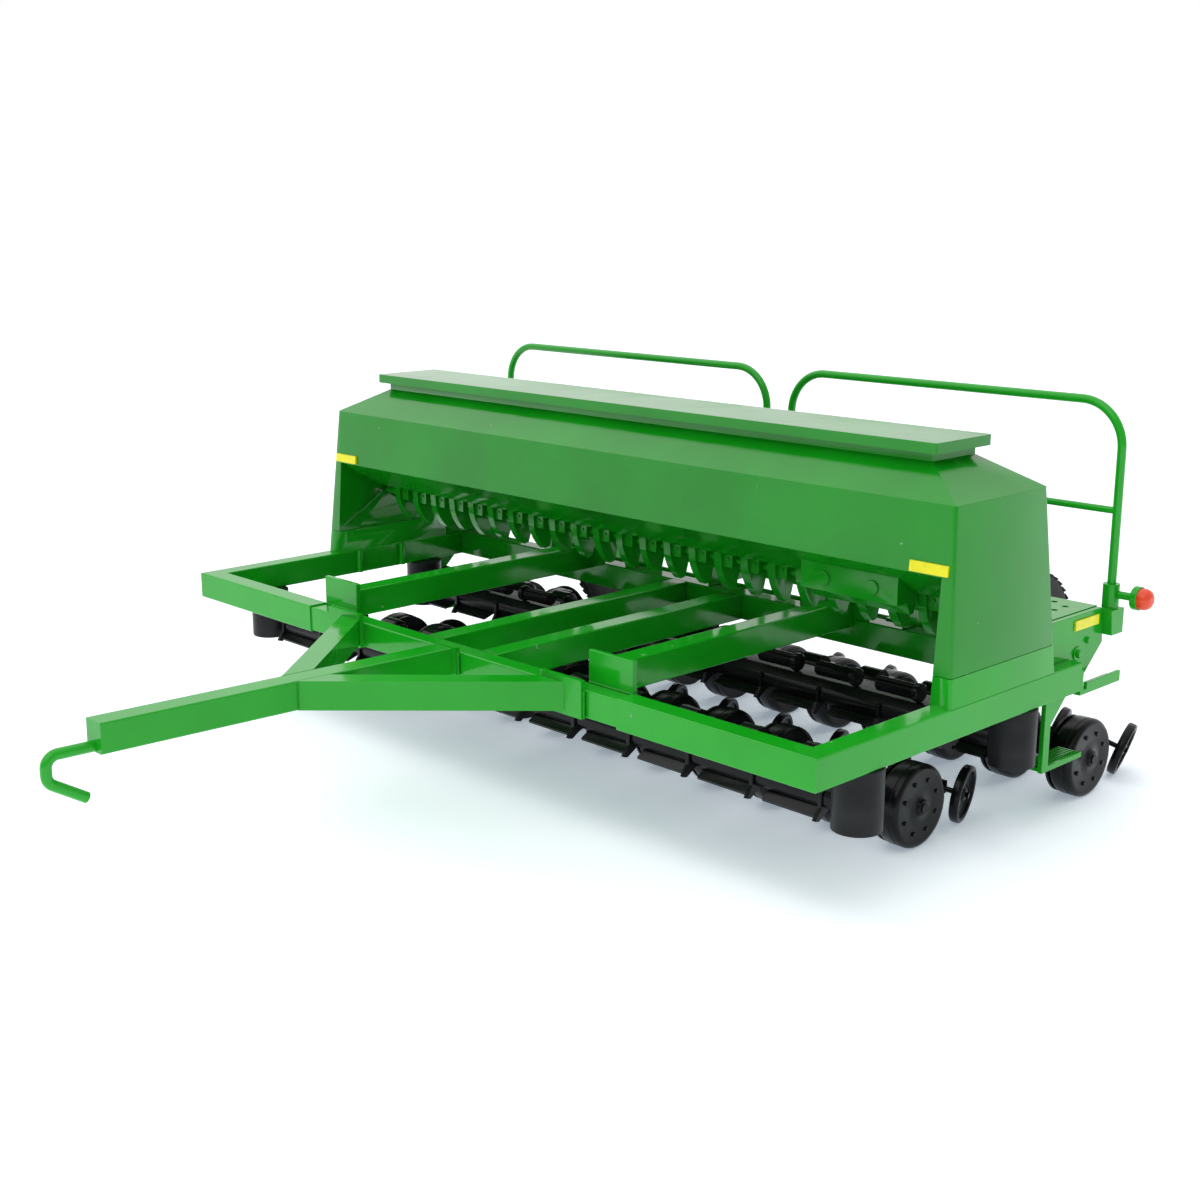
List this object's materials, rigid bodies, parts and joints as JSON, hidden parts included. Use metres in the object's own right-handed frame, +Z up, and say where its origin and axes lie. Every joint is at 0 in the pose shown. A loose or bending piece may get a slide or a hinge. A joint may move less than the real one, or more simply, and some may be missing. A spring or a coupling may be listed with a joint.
{
  "type": "towed grain drill model",
  "caption": "Towed two-rank box grain drill model: tube frame with A-shaped tongue and hook, long lidded grain box over feed cups, rear catwalk with handrails, and ranks of disc openers.",
  "frame": {"origin": "on the floor under the middle of the whole machine", "axes": "+Z up, +Y to the rear (away from the tongue), +X to the right-hand side seen in the direction from the hook to the box"},
  "size_m": [0.3268, 0.35, 0.1345],
  "materials": {
    "green_paint": "glossy green paint over steel",
    "pin_steel": "plain steel pin",
    "red_lens": "red-orange moulded lens",
    "yellow_reflector": "yellow reflective strip",
    "grey_post": "dark grey moulded plastic",
    "tyre_rubber": "dark rubber",
    "rim_plastic": "black moulded plastic",
    "black_plastic": "semi-gloss black moulded plastic"
  },
  "bodies": {
    "frame": {"beam_end_plates": "green_paint", "bracket_bolts": "green_paint", "deck_supports": "green_paint", "drive_cover": "green_paint", "feed_cups": "green_paint", "front_centre_beam": "green_paint", "front_gang_bar": "black_plastic", "front_inner_closing_wheels": "black_plastic", "front_opener_arms": "black_plastic", "gang_hangers": "grey_post", "hitch_hook": "green_paint", "hopper_end_left": "green_paint", "hopper_end_right": "green_paint", "hopper_roof": "green_paint", "hopper_shell": "green_paint", "inner_long_beams": "green_paint", "lamp_housings": "green_paint", "lamp_lenses": "red_lens", "left_catwalk_deck": "green_paint", "left_front_beam": "green_paint", "left_handrail": "green_paint", "left_side_beam": "green_paint", "lid_hinge_pins": "pin_steel", "lift_bearings": "green_paint", "mounting_posts": "grey_post", "outer_long_beams": "green_paint", "rail_clamps": "green_paint", "rear_cross_beam": "green_paint", "rear_gang_bar": "black_plastic", "rear_inner_closing_wheels": "black_plastic", "rear_opener_arms": "black_plastic", "reflectors": "yellow_reflector", "right_catwalk_deck": "green_paint", "right_front_beam": "green_paint", "right_handrail": "green_paint", "right_side_beam": "green_paint", "side_brackets": "green_paint", "spring_rolls": "black_plastic", "steps": "green_paint", "tongue_arms": "green_paint", "tongue_stem": "green_paint"},
    "lid": {"hopper_lid": "green_paint"},
    "feed_shaft": {"feed_shaft": "pin_steel"},
    "transport_lift": {"lift_frame": "green_paint"},
    "transport_wheel_left": {"left_transport_tyre": "tyre_rubber", "left_transport_rim": "rim_plastic"},
    "transport_wheel_right": {"right_transport_tyre": "tyre_rubber", "right_transport_rim": "rim_plastic"},
    "front_gauge_left": {"front_gauge_wheels_left": "black_plastic", "front_discs_left": "black_plastic"},
    "front_closing_left": {"front_closing_wheel_left": "black_plastic"},
    "front_gauge_right": {"front_gauge_wheels_right": "black_plastic", "front_discs_right": "black_plastic"},
    "front_closing_right": {"front_closing_wheel_right": "black_plastic"},
    "rear_gauge_left": {"rear_gauge_wheels_left": "black_plastic", "rear_discs_left": "black_plastic"},
    "rear_closing_left": {"rear_closing_wheel_left": "black_plastic"},
    "rear_gauge_right": {"rear_gauge_wheels_right": "black_plastic", "rear_discs_right": "black_plastic"},
    "rear_closing_right": {"rear_closing_wheel_right": "black_plastic"}
  },
  "joints": [
    {"name": "lid_hinge", "type": "hinge", "parent": "frame", "child": "lid", "pos_m": [0, 0.07165, 0.1242], "axis": [-1, 0, 0], "range_deg": [0, 100]},
    {"name": "feed_shaft_spin", "type": "hinge", "parent": "frame", "child": "feed_shaft", "pos_m": [0, 0.05305, 0.0768], "axis": [1, 0, 0], "continuous": true},
    {"name": "transport_lift_hinge", "type": "hinge", "parent": "frame", "child": "transport_lift", "pos_m": [0, 0.10605, 0.0496], "axis": [-1, 0, 0], "range_deg": [0, 38]},
    {"name": "transport_wheel_spin_left", "type": "hinge", "parent": "transport_lift", "child": "transport_wheel_left", "pos_m": [-0.10396, 0.14905, 0.0412], "axis": [1, 0, 0], "continuous": true},
    {"name": "transport_wheel_spin_right", "type": "hinge", "parent": "transport_lift", "child": "transport_wheel_right", "pos_m": [0.10396, 0.14905, 0.0412], "axis": [1, 0, 0], "continuous": true},
    {"name": "front_gauge_spin_left", "type": "hinge", "parent": "frame", "child": "front_gauge_left", "pos_m": [-0.134, 0.04405, 0.0135], "axis": [1, 0, 0], "continuous": true},
    {"name": "front_closing_spin_left", "type": "hinge", "parent": "frame", "child": "front_closing_left", "pos_m": [-0.1305, 0.07205, 0.00971], "axis": [-0.9492, 0.2902, -0.1219], "continuous": true},
    {"name": "front_gauge_spin_right", "type": "hinge", "parent": "frame", "child": "front_gauge_right", "pos_m": [0.134, 0.04405, 0.0135], "axis": [1, 0, 0], "continuous": true},
    {"name": "front_closing_spin_right", "type": "hinge", "parent": "frame", "child": "front_closing_right", "pos_m": [0.1305, 0.07205, 0.00971], "axis": [0.9492, 0.2902, -0.1219], "continuous": true},
    {"name": "rear_gauge_spin_left", "type": "hinge", "parent": "frame", "child": "rear_gauge_left", "pos_m": [-0.1468, 0.12255, 0.0135], "axis": [1, 0, 0], "continuous": true},
    {"name": "rear_closing_spin_left", "type": "hinge", "parent": "frame", "child": "rear_closing_left", "pos_m": [-0.1433, 0.15055, 0.00959], "axis": [-0.9095, 0.2781, -0.309], "continuous": true},
    {"name": "rear_gauge_spin_right", "type": "hinge", "parent": "frame", "child": "rear_gauge_right", "pos_m": [0.1468, 0.12255, 0.0135], "axis": [1, 0, 0], "continuous": true},
    {"name": "rear_closing_spin_right", "type": "hinge", "parent": "frame", "child": "rear_closing_right", "pos_m": [0.1433, 0.15055, 0.00959], "axis": [0.9095, 0.2781, -0.309], "continuous": true}
  ]
}
